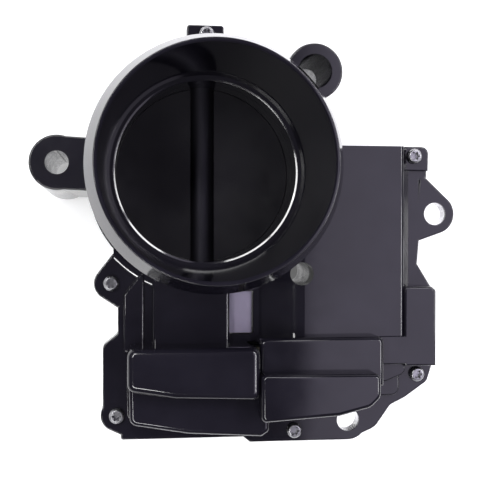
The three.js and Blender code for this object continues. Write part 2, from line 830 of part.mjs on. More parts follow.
function motorArmature() {
  const [x, z] = MOTOR_AXIS;
  const core = rodY(MOTOR_AXIS, MOTOR_Y[0] + 13, MOTOR_Y[1] - 9, 7.6, 32);
  const slots = [0, 1, 2, 3, 4].map((i) => {
    const angle = (i * 2 * Math.PI) / 5;
    return rodY([x + 7.6 * Math.cos(angle), z + 7.6 * Math.sin(angle)], -60, 10, 1.6, 16);
  });
  const commutator = rodY(MOTOR_AXIS, MOTOR_Y[0] + 5, MOTOR_Y[0] + 13.5, 3.6, 24);
  return cut(core.add(commutator), [...slots, rodY(MOTOR_AXIS, -60, 10, 1.2 + GAP, 20)]);
}

const motorShaft = () => rodY(MOTOR_AXIS, -67.4, MOTOR_Y[1] + 0.8, 1.15, 20);

function motorPinion() {
  const phase = PINION_MESH + Math.PI + Math.PI / PINION_TEETH;
  const teeth = prismAlongY(gearShape(MOTOR_AXIS, PINION_TEETH, phase), IDLER_LARGE_Y[0] + 0.4, -61.6);
  return teeth.subtract(rodY(MOTOR_AXIS, -80, -50, 1.15 + GAP, 20));
}

// ---- Position sensor and connector

const SENSOR_Y = -74;

function sensorBoard() {
  const board = box(-16, 12, SENSOR_Y - 1.2, SENSOR_Y, 10, 50);
  const chip = box(-3, 3, SENSOR_Y - 0.1, SENSOR_Y + 1.1, SHAFT_Z - 3, SHAFT_Z + 3);
  const parts = [-12, -7, 8].map((x) => box(x - 1, x + 1, SENSOR_Y - 0.1, SENSOR_Y + 0.8, 20, 22.4));
  return union([board, chip, ...parts]);
}

const sensorMagnet = () => rodY(SHAFT_AXIS, -71.6, -69.5 - GAP, 3.6, 24);

const SOCKET = { x: [65.4, 73.2], y: [-60.4, -36.9], z: [12, 39.9], wall: 1.4, floor: 38 };
const TERMINALS = 6;
const TERMINAL_PITCH = 3;

function connectorSocket() {
  const { x, y, z, wall, floor } = SOCKET;
  const shell = prism(rectangle(...x, ...y, 1.4), ...z);
  const inside = prism(rectangle(x[0] + wall, x[1] - wall, y[0] + wall, y[1] - wall, 0.8), z[0] - 1, floor);
  const latch = box(x[1] - 0.2, x[1] + 0.8, -51.5, -45.8, 16, 22);
  return shell.subtract(inside).add(latch);
}

function connectorTerminal(index) {
  const x = (SOCKET.x[0] + SOCKET.x[1]) / 2;
  const y = (SOCKET.y[0] + SOCKET.y[1]) / 2 + (index - (TERMINALS - 1) / 2) * TERMINAL_PITCH;
  return box(x - 0.32, x + 0.32, y - 0.6, y + 0.6, 27, SOCKET.floor - GAP);
}

// ---- Sleeves, screws and bearings

const sleeve = (centre, z0, z1) => ringZ(centre, z0, z1, SLEEVE_R, BOLT_HOLE_R, 24);

// A round-head screw with a six-lobed socket in its head.
function housingScrew(centre, seat) {
  const headTop = seat + 1.9;
  const head = coneZ(centre, seat + GAP, headTop, SCREW_HEAD_R, SCREW_HEAD_R - 0.35, 20);
  const recess = [0, 1, 2].map((i) => {
    const bar = box(-1.25, 1.25, -0.32, 0.32, headTop - 0.9, headTop + 1);
    return bar.rotate([0, 0, i * 60]).translate([centre[0], centre[1], 0]);
  });
  return cut(head.add(rodZ(centre, 34, seat + 1, SCREW_R, 12)), recess);
}

// ---- Assembly

const group = new THREE.Group();
const assembly = new THREE.Group();
group.add(assembly);
const put = (name, made, material) => assembly.add(meshOf(name, made, material));

put("front_housing", frontHousing(), glossBlack);
put("rear_body", rearBody(), glossBlack);
put("housing_gasket", housingGasket(), rubber);
put("manifold_seal", manifoldSeal(), rubber);

put("throttle_plate", throttlePlate(), satinBlack);
put("throttle_shaft", throttleShaft(), steel);
PLATE_SCREW_Y.forEach((y, i) => put(`plate_screw_${i + 1}`, plateScrew(y), steel));
put("sector_gear", sectorGear(), nylon);
put("sensor_magnet", sensorMagnet(), satinBlack);

put("shaft_bearing_upper", ringY(SHAFT_AXIS, 32.4, 38.4, 8, SHAFT_R + GAP), steel);
put("shaft_seal_upper", ringY(SHAFT_AXIS, 30.5, 32.1, 8, SHAFT_R + GAP), rubber);
put("shaft_end_plug", rodY(SHAFT_AXIS, 39.6, 41.4, 8, 32), steel);
put("shaft_seal_lower", ringY(SHAFT_AXIS, -35.8, -34.1, LOWER_BEARING_R, SHAFT_R + GAP), rubber);
put("shaft_bearing_lower", ringY(SHAFT_AXIS, -41.7, -36.1, LOWER_BEARING_R, SHAFT_R + GAP), steel);
put("spring_bush", ringY(SHAFT_AXIS, -52.8, -42.6, 5.6, SHAFT_R + GAP), nylon);
put("return_spring", returnSpring(), steel);
put("spring_stop", springStop(), coatedGrey);

put("idler_gear", idlerGear(), nylon);
put("idler_pin", idlerPin(), steel);

put("motor_can", motorCan(), steel);
put("motor_end_cap", motorEndCap(), satinBlack);
put("motor_magnet_left", motorMagnet(-1), satinBlack);
put("motor_magnet_right", motorMagnet(1), satinBlack);
put("motor_armature", motorArmature(), steel);
put("motor_shaft", motorShaft(), steel);
put("motor_pinion", motorPinion(), brass);

put("sensor_board", sensorBoard(), boardGreen);
put("connector_socket", connectorSocket(), satinBlack);
for (let i = 0; i < TERMINALS; i++) put(`connector_terminal_${i + 1}`, connectorTerminal(i), brass);

const underLip = (faceZ) => faceZ - SLEEVE_LIP - GAP;
put("sleeve_left", sleeve(EAR_LEFT, 0, underLip(EAR_TOP)), aluminium);
put("sleeve_upper_right", sleeve(EAR_UPPER_RIGHT, 0, DEEP_SLEEVE_TOP), aluminium);
put("sleeve_lower_right", sleeve(BOSS_LOWER_RIGHT, BOSS_SLEEVE_BOTTOM, underLip(FLANGE_TOP)), aluminium);
put("lug_sleeve_right", sleeve(LUG_RIGHT, FLANGE_BOTTOM, underLip(FLANGE_TOP)), aluminium);
put("lug_sleeve_bottom", sleeve(LUG_BOTTOM, FLANGE_BOTTOM, underLip(FLANGE_TOP)), aluminium);
SCREWS.forEach((centre, i) => {
  const seat = i === 2 ? BLOCKS.screwTab.top : FLANGE_TOP;
  put(`housing_screw_${i + 1}`, housingScrew(centre, seat), steel);
});

// The origin is under the middle of the whole part, on the manifold face.
const LEFT = EAR_LEFT[0] - EAR_BASE_R;
const RIGHT = LUG_RIGHT[0] + LUG_R;
const BOTTOM = FLANGE.reduce((low, [, y]) => Math.min(low, y), 0);
assembly.position.set(-(LEFT + RIGHT) / 2, -(TOP_EAR.top + BOTTOM) / 2, 0);

export default group;
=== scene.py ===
"""Looks for an electronic throttle body with two glossy black plastic housings.

Shapes are made in millimetres around the bore axis, with z = 0 on the manifold face and the
throttle shaft along Y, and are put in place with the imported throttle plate, whose middle is on
that axis.
"""

import math

import bmesh
import bpy
from mathutils import Matrix, Vector


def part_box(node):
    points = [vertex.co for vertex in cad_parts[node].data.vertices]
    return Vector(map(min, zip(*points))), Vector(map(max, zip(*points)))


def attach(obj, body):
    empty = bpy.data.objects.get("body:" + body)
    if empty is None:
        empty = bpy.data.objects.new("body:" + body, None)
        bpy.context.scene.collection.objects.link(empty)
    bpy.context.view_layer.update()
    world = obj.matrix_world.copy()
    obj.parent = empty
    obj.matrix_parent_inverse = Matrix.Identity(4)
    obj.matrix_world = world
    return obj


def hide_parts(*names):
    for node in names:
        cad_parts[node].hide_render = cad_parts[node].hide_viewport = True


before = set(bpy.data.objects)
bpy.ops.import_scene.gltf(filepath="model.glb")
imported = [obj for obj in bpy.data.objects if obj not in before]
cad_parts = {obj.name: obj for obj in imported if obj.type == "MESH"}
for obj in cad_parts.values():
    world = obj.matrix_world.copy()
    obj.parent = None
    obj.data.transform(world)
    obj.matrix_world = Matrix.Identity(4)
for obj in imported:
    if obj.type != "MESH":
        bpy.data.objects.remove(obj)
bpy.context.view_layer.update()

# ---- Dimensions, in millimetres

MM = 0.001
GAP = 0.3
HEIGHT = 88.0
SPLIT_Z = 43.0
FRONT_Z0 = SPLIT_Z + GAP / 2
REAR_Z1 = SPLIT_Z - GAP / 2
FLANGE_TOP = 46.0
FLANGE_BOTTOM = 40.2
WALL = 2.2
TRAY_WALL = 2.4

BORE_R = 28.0
BORE_WALL = 3.5
BORE_TOP = 49.0
MOUTH_R = 32.1
LIP_R = 33.2
BEAD_R = 36.0
BEAD_Z = 79.6
TUBE_R = 34.6
COLLAR_R = 40.0
COLLAR_TOP = 52.0

SHAFT_Z = 32.0
SHAFT_R = 4.0
PLATE_R = 27.96
PLATE_THICKNESS = 2.0
PLATE_SLOT = 2.6
PLATE_SLOT_REACH = 27.9
LOWER_BEARING_R = 7.0
SPRING_CHAMBER_R = 7.5
SPRING_CHAMBER_WALL = 1.7
IDLER = (30.7, 39.488)
MOTOR = (50.6, 37.490)
MOTOR_R = 11.6
MOTOR_CLEARANCE = 0.4
MOTOR_WELL_X = (38.6, 62.6)
MOTOR_ROOF_Y = (-56.0, 8.4)

EAR_TOP = 50.0
EAR_R = 8.4
EAR_BASE_R = 9.3
UPPER_EAR_R = 8.8
UPPER_EAR_BASE_R = 9.5
BOLT_HOLE_R = 3.6
SLEEVE_R = 4.7
SLEEVE_LIP = 0.6
DEEP_SLEEVE_TOP = 34.0
BOSS_SLEEVE_BOTTOM = 24.0
RECESS_R = 5.4
EAR_LEFT = (-45.4, 2.4)
EAR_UPPER_RIGHT = (34.1, 31.7)
BOSS_LOWER_RIGHT = (29.7, -31.6)
LUG_RIGHT = (74.2, -12.7)
LUG_BOTTOM = (45.6, -78.4)
LUG_R = 6.4
SCREWS = [
    (-29.2, -34.5),
    (-27.5, -75.4),
    (66.6, 5.6),
    (68.0, -64.1),
    (28.1, -81.2),
    (0.3, 43.0),
]
TAB_TOP = 47.6  # the raised seat of the third screw
SCREW_HEAD_R = 2.35
SCREW_HEAD_HEIGHT = 1.9
SCREW_R = 1.4
PLATE_SCREW_Y = (-14.0, 14.0)

ROUND = 192  # sides of the tube and bore
FINE = 96  # sides of ears, bosses and sleeves
ARC_STEPS = 5

plate_low, plate_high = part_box("throttle_plate")
BORE = (plate_low + plate_high) / 2
TO_FRAME = Matrix.Translation((BORE.x, BORE.y, 0)) @ Matrix.Diagonal((MM, MM, MM, 1))

# ---- Outlines


def rounded(corners, radius=0.0, least=0.0, steps=ARC_STEPS):
    """A polygon's points with its corners rounded. A corner is (x, y) or (x, y, its own radius)."""
    points = []
    count = len(corners)
    for i, corner in enumerate(corners):
        here = Vector(corner[:2])
        own = corner[2] if len(corner) > 2 else radius
        back_to = Vector(corners[i - 1][:2]) - here
        on_to = Vector(corners[(i + 1) % count][:2]) - here
        half = back_to.angle(on_to) / 2
        if own <= 0 or half > math.radians(87):
            points.append(here)
            continue
        own = max(own, least)
        back = min(own / math.tan(half), 0.48 * back_to.length, 0.48 * on_to.length)
        r = back * math.tan(half)
        a, b = back_to.normalized(), on_to.normalized()
        centre = here + (a + b).normalized() * (r / math.sin(half))
        start, end = here + a * back - centre, here + b * back - centre
        sweep = start.angle(end)
        for k in range(steps + 1):
            t = k / steps
            share = math.sin((1 - t) * sweep) * start + math.sin(t * sweep) * end
            points.append(centre + share / math.sin(sweep))
    return points


def circle(centre, radius, sides=FINE):
    cx, cy = centre
    return [
        Vector((cx + radius * math.cos(a), cy + radius * math.sin(a)))
        for a in (2 * math.pi * i / sides for i in range(sides))
    ]


def rectangle(x0, x1, y0, y1, radius=0.0):
    return rounded([(x0, y0), (x1, y0), (x1, y1), (x0, y1)], radius)


def counter_clockwise(points):
    area = sum(a.cross(b) for a, b in zip(points, points[1:] + points[:1]))
    return points if area > 0 else points[::-1]


def moved_out(points, distance):
    """The outline with every side moved outwards by the same distance."""
    result = []
    count = len(points)
    for i, here in enumerate(points):
        along = (here - points[i - 1]).normalized()
        onward = (points[(i + 1) % count] - here).normalized()
        normal = Vector((along.y + onward.y, -along.x - onward.x))
        result.append(here + normal * (2 * distance / max(normal.length_squared, 0.4)))
    return result


def lug(centre, radius, start, end, sides=40):
    """A round end about a centre, with straight sides running to two points."""
    cx, cy = centre

    def reach(point, side):
        dx, dy = point[0] - cx, point[1] - cy
        return math.atan2(dy, dx) + side * math.acos(radius / math.hypot(dx, dy))

    first, last = reach(start, 1), reach(end, -1)
    while last < first:
        last += 2 * math.pi
    arc = [first + (last - first) * k / sides for k in range(sides + 1)]
    round_end = [
        Vector((cx + radius * math.cos(a), cy + radius * math.sin(a))) for a in arc
    ]
    return [Vector(start), *round_end, Vector(end)]


# ---- Solids


def new_object(name, bm):
    bmesh.ops.recalc_face_normals(bm, faces=bm.faces)
    mesh = bpy.data.meshes.new(name)
    bm.to_mesh(mesh)
    bm.free()
    made = bpy.data.objects.new(name, mesh)
    bpy.context.scene.collection.objects.link(made)
    return made


def slab(points, z0, z1, edge=0.5, foot=0.0, foot_z=FLANGE_TOP, under=0.0):
    """An outline raised from z0 to z1, with rounded edges and a fillet at its foot."""
    points = counter_clockwise(points)
    turns = [math.pi / 2 * k / ARC_STEPS for k in range(ARC_STEPS + 1)]
    levels = []
    if under:
        levels += [
            (under * (math.sin(a) - 1), z0 + under * (1 - math.cos(a))) for a in turns
        ]
    else:
        levels.append((foot, z0))
    if foot:
        levels += [
            (foot * (1 - math.sin(a)), foot_z + foot * (1 - math.cos(a))) for a in turns
        ]
    if edge:
        levels += [
            (edge * (math.cos(a) - 1), z1 + edge * (math.sin(a) - 1)) for a in turns
        ]
    else:
        levels.append((0.0, z1))
    bm = bmesh.new()
    rings = []
    for out, z in levels:
        ring = moved_out(points, out) if out else points
        rings.append([bm.verts.new((p.x, p.y, z)) for p in ring])
    count = len(points)
    for low, high in zip(rings, rings[1:]):
        for i in range(count):
            j = (i + 1) % count
            bm.faces.new((low[i], low[j], high[j], high[i]))
    bm.faces.new(rings[0][::-1])
    bm.faces.new(rings[-1])
    return new_object("slab", bm)


ALONG_Z = Matrix.Identity(4)
ALONG_Y = Matrix.Rotation(-math.pi / 2, 4, "X")  # turns +Z to +Y


def lathe(profile, sides=ROUND, place=ALONG_Z):
    """A closed (radius, height) profile turned about its axis."""
    bm = bmesh.new()
    rings = []
    for r, z in profile:
        if r < 1e-6:
            rings.append([bm.verts.new((0, 0, z))] * sides)
            continue
        angles = [2 * math.pi * i / sides for i in range(sides)]
        rings.append(
            [bm.verts.new((r * math.cos(a), r * math.sin(a), z)) for a in angles]
        )
    for low, high in zip(rings, rings[1:] + rings[:1]):
        for i in range(sides):
            j = (i + 1) % sides
            face = list(dict.fromkeys((low[i], low[j], high[j], high[i])))
            if len(face) > 2:
                bm.faces.new(face)
    bmesh.ops.transform(bm, matrix=place, verts=bm.verts)
    return new_object("lathe", bm)


def at(x, y, z=0.0):
    return Matrix.Translation((x, y, z))


def along_y(axis):
    """A place whose height runs along +Y, on an axis given as (x, z)."""
    return Matrix.Translation((axis[0], 0, axis[1])) @ ALONG_Y


def rod(place, z0, z1, bottom_r, top_r=None, edge=0.0, sides=FINE):
    top_r = bottom_r if top_r is None else top_r
    corners = [(0, z0), (bottom_r, z0, edge), (top_r, z1, edge), (0, z1)]
    return lathe([tuple(p) for p in rounded(corners)], sides, place)


def ring(place, z0, z1, outer, inner, edge=0.0, sides=FINE):
    corners = [(inner, z0), (outer, z0), (outer, z1), (inner, z1)]
    return lathe([tuple(p) for p in rounded(corners, edge, steps=3)], sides, place)


def block(x0, x1, y0, y1, z0, z1, edge=0.0):
    return slab(rectangle(x0, x1, y0, y1, edge), z0, z1, edge)


def raised_along_y(points, y0, y1):
    """An outline in the XZ plane, given as (x, z), raised from y0 to y1."""
    made = slab(points, -y1, -y0, edge=0.0)
    made.data.transform(Matrix.Rotation(math.pi / 2, 4, "X"))
    return made


def combined(base, operation, tools):
    for tool in tools:
        modifier = base.modifiers.new("join", "BOOLEAN")
        modifier.operation = operation
        modifier.solver = "MANIFOLD"
        modifier.object = tool
    bpy.context.view_layer.update()
    shaped = base.evaluated_get(bpy.context.evaluated_depsgraph_get())
    mesh = bpy.data.meshes.new_from_object(shaped)
    base.modifiers.clear()
    old = base.data
    base.data = mesh
    bpy.data.meshes.remove(old)
    for tool in tools:
        spare = tool.data
        bpy.data.objects.remove(tool)
        bpy.data.meshes.remove(spare)
    return base


def union(pieces):
    return combined(pieces[0], "UNION", pieces[1:])


def cut(base, tools):
    return combined(base, "DIFFERENCE", tools)


def place_piece(name, made, body, replaced, material, sharp=34):
    """Puts a finished solid in the row frame, smooths its shading and hangs it on its body."""
    made.name = name
    made.data.name = name
    made.data.transform(TO_FRAME)
    made.data.shade_smooth()
    made.data.set_sharp_from_angle(angle=math.radians(sharp))
    made.data.materials.clear()
    made.data.materials.append(material)
    weighted = made.modifiers.new("normals", "WEIGHTED_NORMAL")
    weighted.keep_sharp = True
    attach(made, body)
    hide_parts(*replaced)
    return made


# ---- Materials


class Nodes:
    """A material's node tree, with short calls to add and link nodes."""

    def __init__(self, name):
        self.material = bpy.data.materials.new(name)
        self.material.use_nodes = True
        self.tree = self.material.node_tree
        self.shader = self.tree.nodes["Principled BSDF"]
        self.coordinates = self.add("ShaderNodeTexCoord").outputs["Object"]
        self.bumped = None

    def add(self, kind, **settings):
        node = self.tree.nodes.new(kind)
        for key, value in settings.items():
            setattr(node, key, value)
        return node

    def link(self, source, target):
        self.tree.links.new(source, target)

    def set(self, **values):
        for key, value in values.items():
            self.shader.inputs[key.replace("_", " ")].default_value = value

    def noise(self, scale, detail=3.0, stretch=None, turn=None, roughness=0.5):
        source = self.coordinates
        if stretch or turn:
            mapping = self.add("ShaderNodeMapping")
            mapping.inputs["Scale"].default_value = stretch or (1, 1, 1)
            mapping.inputs["Rotation"].default_value = turn or (0, 0, 0)
            self.link(source, mapping.inputs["Vector"])
            source = mapping.outputs["Vector"]
        node = self.add("ShaderNodeTexNoise")
        node.inputs["Scale"].default_value = scale
        node.inputs["Detail"].default_value = detail
        node.inputs["Roughness"].default_value = roughness
        self.link(source, node.inputs["Vector"])
        return node.outputs["Fac"]

    def ranged(self, source, low, high, start=0.3, end=0.7):
        node = self.add("ShaderNodeMapRange")
        node.inputs["From Min"].default_value = start
        node.inputs["From Max"].default_value = end
        node.inputs["To Min"].default_value = low
        node.inputs["To Max"].default_value = high
        self.link(source, node.inputs["Value"])
        return node.outputs["Result"]

    def mixed(self, source, first, second):
        node = self.add("ShaderNodeMix", data_type="RGBA")
        node.inputs["A"].default_value = (*first, 1)
        node.inputs["B"].default_value = (*second, 1)
        self.link(source, node.inputs["Factor"])
        return node.outputs["Result"]

    def colour(self, source, first, second, start=0.35, end=0.65):
        share = self.ranged(source, 0, 1, start, end)
        self.link(self.mixed(share, first, second), self.shader.inputs["Base Color"])

    def rough(self, source, low, high, start=0.3, end=0.7):
        self.link(
            self.ranged(source, low, high, start, end), self.shader.inputs["Roughness"]
        )

    def bump(self, source, height, strength=1.0):
        """Adds relief of that height in millimetres."""
        node = self.add("ShaderNodeBump")
        node.inputs["Distance"].default_value = height * MM
        node.inputs["Strength"].default_value = strength
        self.link(source, node.inputs["Height"])
        if self.bumped:
            self.link(self.bumped, node.inputs["Normal"])
        self.bumped = node.outputs["Normal"]
        self.link(self.bumped, self.shader.inputs["Normal"])


def moulded(name, dark, light, gloss, grain, waviness, shine=0.5):
    """Moulded plastic: slow sink marks, fine grain, faint handling haze."""
    n = Nodes(name)
    n.set(Specular_IOR_Level=shine, IOR=1.5)
    n.colour(n.noise(60, 4), dark, light)
    n.rough(n.noise(140, 5, roughness=0.6), *gloss)
    n.bump(n.noise(55, 1.5), waviness)
    n.bump(n.noise(2600, 2), grain)
    return n.material


def metal(name, dark, light, gloss, stretch, scale, relief, turn=None):
    """Metal with fine lines in one direction."""
    n = Nodes(name)
    n.set(Metallic=1.0)
    lines = n.noise(scale, 4, stretch, turn)
    n.colour(lines, dark, light)
    n.rough(n.noise(scale * 0.6, 3, stretch, turn), *gloss)
    n.bump(lines, relief)
    return n.material


def soft_matt(name, dark, light, gloss, grain, scale):
    n = Nodes(name)
    n.colour(n.noise(scale, 4), dark, light)
    n.rough(n.noise(scale * 1.7, 3), *gloss)
    n.bump(n.noise(scale * 6, 3), grain)
    return n.material


HOUSING = moulded(
    "housing_gloss_black",
    (0.0045, 0.0040, 0.0068),
    (0.0075, 0.0068, 0.0108),
    (0.07, 0.12),
    0.0012,
    0.02,
)
REAR = moulded(
    "rear_gloss_black",
    (0.0045, 0.0040, 0.0068),
    (0.0085, 0.0078, 0.0118),
    (0.13, 0.22),
    0.002,
    0.02,
)
PLATE = moulded(
    "plate_satin_black",
    (0.0035, 0.0032, 0.0048),
    (0.0060, 0.0056, 0.0078),
    (0.30, 0.42),
    0.003,
    0.02,
    0.3,
)
CONNECTOR = moulded(
    "connector_satin_black",
    (0.007, 0.007, 0.008),
    (0.014, 0.014, 0.015),
    (0.30, 0.42),
    0.006,
    0.015,
)
# Painted shade: the shaft's steel is darkened almost to black so that it looks as dim as the shade
# deep in the bore.
SHAFT_PAINTED_SHADE = metal(
    "shaft_painted_shade",
    (0.024, 0.023, 0.029),
    (0.030, 0.029, 0.036),
    (0.50, 0.60),
    (12, 1, 12),
    60,
    0.0002,
)
SCREW = metal(
    "screw_zinc", (0.20, 0.20, 0.21), (0.36, 0.36, 0.37), (0.22, 0.32), (1, 1, 1), 500, 0.002
)
SLEEVE = metal(
    "sleeve_turned",
    (0.66, 0.66, 0.68),
    (0.93, 0.93, 0.94),
    (0.20, 0.34),
    (7, 1, 1),
    300,
    0.006,
    (0.0, 0.6, 0.9),
)
MOTOR_STEEL = metal(
    "motor_zinc_plate", (0.36, 0.36, 0.38), (0.55, 0.55, 0.56), (0.25, 0.4), (1, 12, 1), 90, 0.006
)
BRASS = metal(
    "brass_drawn", (0.50, 0.34, 0.13), (0.72, 0.52, 0.22), (0.2, 0.34), (1, 1, 8), 500, 0.004
)
SPRING = metal(
    "spring_wire", (0.30, 0.30, 0.32), (0.5, 0.5, 0.51), (0.22, 0.36), (1, 1, 1), 500, 0.004
)
RUBBER = soft_matt(
    "rubber_matt", (0.009, 0.009, 0.010), (0.02, 0.02, 0.021), (0.6, 0.82), 0.01, 300
)
NYLON = soft_matt(
    "nylon_natural", (0.55, 0.51, 0.40), (0.68, 0.64, 0.52), (0.4, 0.55), 0.006, 120
)
MAGNET = soft_matt(
    "magnet_ferrite", (0.018, 0.018, 0.02), (0.045, 0.044, 0.046), (0.5, 0.7), 0.015, 420
)
BOARD = soft_matt(
    "board_green", (0.008, 0.075, 0.032), (0.014, 0.13, 0.055), (0.3, 0.45), 0.004, 260
)

# Painted reflection: the spring stop's pale lavender grey stands for light reflected in the gap
# slot, not for a coating colour.
STOP_PAINTED_REFLECTION = soft_matt(
    "spring_stop_painted_reflection", (0.13, 0.115, 0.165), (0.17, 0.15, 0.21), (0.35, 0.5), 0.004, 90
)

# ---- Outlines of the housings

FLANGE = [
    (-12, -20),
    (-28.5, -24),
    (-27.1, -40.5),
    (-27.1, -50.1, 1.5),
    (-31.7, -53.7, 2),
    (-31.7, -78.6, 3),
    (-26.2, -81.4),
    (-26.2, -83, 0.8),
    (12, -83),
    (14.1, -84.7, 0.8),
    (45.6, -84.8),
    (54.5, -81, 6),
    (59.5, -74, 3),
    (64.4, -71.6, 2),
    (71.6, -66.6, 2.5),
    (73.1, -62),
    (73.3, -36.8, 1.2),
    (68.3, -28.8),
    (69, -21.1),
    (69, -2),
    (71.4, -1),
    (71.6, 8.7, 2.2),
    (0, 8.7),
]
TOP_EAR_HALF = 5.8
TOP_EAR_END = 46.0
TRAY_WALLS = [
    (-23, -55),
    (-23, -80),
    (16.5, -80),
    (16.5, -72),
    (40, -71),
    (51, -68.6),
    (60, -68.6),
]
TRAY = [*TRAY_WALLS, (60, -55)]
HOLLOW = [
    *TRAY_WALLS,
    (60, -57),
    (MOTOR_WELL_X[1], -55),
    (MOTOR_WELL_X[1], 5),
    (MOTOR_WELL_X[0], 5),
    (MOTOR_WELL_X[0], -55),
]
GAP_SLOT = (7.4, 15.2, -50.6, -37)
GAP_LEAN = 1.9  # the gap's right wall leans in towards the manifold face
GAP_WALL = [
    (GAP_SLOT[1] - GAP_LEAN, 3),
    (GAP_SLOT[1] + 2.2, 3),
    (GAP_SLOT[1] + 2.2, REAR_Z1),
    (GAP_SLOT[1], REAR_Z1),
]
GAP_PROFILE = [
    (SPRING_CHAMBER_R + 2, -1),
    (GAP_SLOT[1] - GAP_LEAN - 0.2, -1),
    (GAP_SLOT[1], REAR_Z1),
    (GAP_SLOT[1], 60),
    (GAP_SLOT[0], 60),
    (GAP_SLOT[0], FLANGE_BOTTOM - 0.2),
    (SPRING_CHAMBER_R + 2, FLANGE_BOTTOM - 0.2),
]
MOTOR_ROOF_TOP = MOTOR[1] + MOTOR_R + MOTOR_CLEARANCE + WALL
MOTOR_ROOF_BASE = FLANGE_TOP - WALL - 0.2
MOTOR_ROOF = [
    (66, MOTOR_ROOF_BASE),
    (65.3, FLANGE_TOP),
    (61.9, MOTOR_ROOF_TOP, 1.5),
    (28.5, MOTOR_ROOF_TOP, 9),
    (17, FLANGE_TOP + 0.2, 3),
    (15.6, MOTOR_ROOF_BASE),
]

# Each block over the gears and the connector: outline, top height, edge radius, foot fillet.
BLOCKS = [
    (
        [
            (-24.3, -53, 2.5),
            (-24.3, -65.6, 1.2),
            (-10, -68),
            (15.2, -68.9, 1),
            (15.2, -53, 1),
        ],
        62.5,
        2.2,
        0.0,
    ),
    (
        [
            (-24, -60),
            (-23.6, -76.6, 2.5),
            (-6, -79.6),
            (16.4, -81, 2),
            (18.9, -79.4, 1),
            (18.9, -60),
        ],
        56.0,
        1.5,
        0.6,
    ),
    (
        [
            (15.2, -61, 0.8),
            (15.2, -75.3, 1.5),
            (38.8, -73.8, 4),
            (48.5, -71.4, 4),
            (51.6, -68.4, 3),
            (51.6, -61.4, 1),
        ],
        64.0,
        1.4,
        0.0,
    ),
    (
        [(15.6, -50.8, 1), (15.6, -66), (54.2, -66), (54.2, -50.8, 1)],
        58.0,
        1.6,
        0.0,
    ),
    (
        [(50, -51.2), (50, -60.2), (68.3, -60.2, 2), (68.3, -51.2, 1)],
        52.0,
        0.5,
        0.3,
    ),
    (
        [(50, -56), (50, -66.2), (57, -65.8), (63.2, -63.4, 2.5), (63.2, -56)],
        50.0,
        0.5,
        0.3,
    ),
    (
        [(50, -60), (50, -70.6), (61.8, -70.6, 2.5), (61.8, -60)],
        48.0,
        0.5,
        0.3,
    ),
    (
        [
            (62.4, -35.8, 0.8),
            (62.4, -60.8),
            (72.6, -60.8),
            (72.6, -37, 1),
            (71.2, -35.8, 0.8),
        ],
        52.0,
        0.7,
        0.0,
    ),
    ([(-16.6, -18), (-16.6, -56), (7.4, -56), (7.4, -18)], 49.0, 1.2, 0.0),
    ([(-25.4, -38), (-25.4, -56), (-19, -56), (-19, -30)], 47.2, 0.8, 0.0),
    (
        [(61.8, 1), (71.4, 1), (71.6, 8.7, 2.2), (61.8, 8.7)],
        TAB_TOP,
        0.5,
        0.0,
    ),
]
SECTOR_TOP, IDLER_TOP, SHOULDER_TOP = BLOCKS[0][1], BLOCKS[2][1], BLOCKS[3][1]


def flange_slabs(z0, z1, edge, under=0.0):
    left, low_left = SCREWS[:2]
    least = max(edge, under) + 0.2
    outlines = [
        rounded(FLANGE, least=least),
        lug(left, 5.2, (-26, -22), (-26.5, -42.5)),
        lug(low_left, 4.9, (-26, -68), (-25, -82)),
        lug(LUG_RIGHT, LUG_R, (67, -22), (69.5, 0.5)),
        circle(LUG_BOTTOM, LUG_R),
        rectangle(-TOP_EAR_HALF, TOP_EAR_HALF, 26, TOP_EAR_END, 0.9),
    ]
    return [slab(o, z0, z1, edge, under=under) for o in outlines]


def motor_arch():
    """The arched space between the motor and its roof, as (x, z) points."""
    x, z = MOTOR
    crown = z + MOTOR_R + MOTOR_CLEARANCE
    half = (MOTOR_WELL_X[1] - MOTOR_WELL_X[0]) / 2 + 0.1
    rise = crown - MOTOR_ROOF_BASE
    radius = (half**2 + rise**2) / (2 * rise)
    sweep = math.asin(half / radius)
    steps = 48
    return [
        Vector((x + radius * math.sin(a), crown - radius + radius * math.cos(a)))
        for a in (sweep - 2 * sweep * k / steps for k in range(steps + 1))
    ]


# ---- Front housing


def inlet_tube():
    corners = [
        (BORE_R - 2, FRONT_Z0),
        (TUBE_R, FRONT_Z0),
        (TUBE_R, BEAD_Z - 6, 1.5),
        (BEAD_R, BEAD_Z - 4, 0.8),
        (BEAD_R, BEAD_Z, 0.8),
        (LIP_R, HEIGHT, 0.35),
        (MOUTH_R - 4, HEIGHT),
    ]
    return lathe([tuple(p) for p in rounded(corners)])


def inlet_bore():
    corners = [
        (0, HEIGHT + 2),
        (0, SPLIT_Z - 2),
        (BORE_R, SPLIT_Z - 2),
        (BORE_R, BORE_TOP + 0.9),
        (BORE_R + 0.5, BORE_TOP + 1.1),
        (BORE_R + 0.56, BORE_TOP + 1.11),
        (BORE_R + 1.6, BORE_TOP + 1.2),
        (MOUTH_R, HEIGHT - 0.4, 0.0),
        (MOUTH_R + 0.4, HEIGHT),
        (MOUTH_R + 0.4, HEIGHT + 2),
    ]
    return lathe([tuple(p) for p in rounded(corners)])


def collar():
    """The hollow fillet round the tube's foot, only where there is flange under it."""
    wide, high = COLLAR_R - TUBE_R, COLLAR_TOP - FLANGE_TOP
    steps = 16
    sweep = [math.pi / 2 * k / steps for k in range(steps + 1)]
    hollow = [
        (COLLAR_R - wide * math.sin(a), COLLAR_TOP - high * math.cos(a)) for a in sweep
    ]
    profile = [(BORE_R + 1, FRONT_Z0), (COLLAR_R, FRONT_Z0), *hollow, (BORE_R + 1, COLLAR_TOP)]
    return combined(
        lathe(profile), "INTERSECT", [slab(rounded(FLANGE), FRONT_Z0 - 1, COLLAR_TOP + 1, 0.0)]
    )


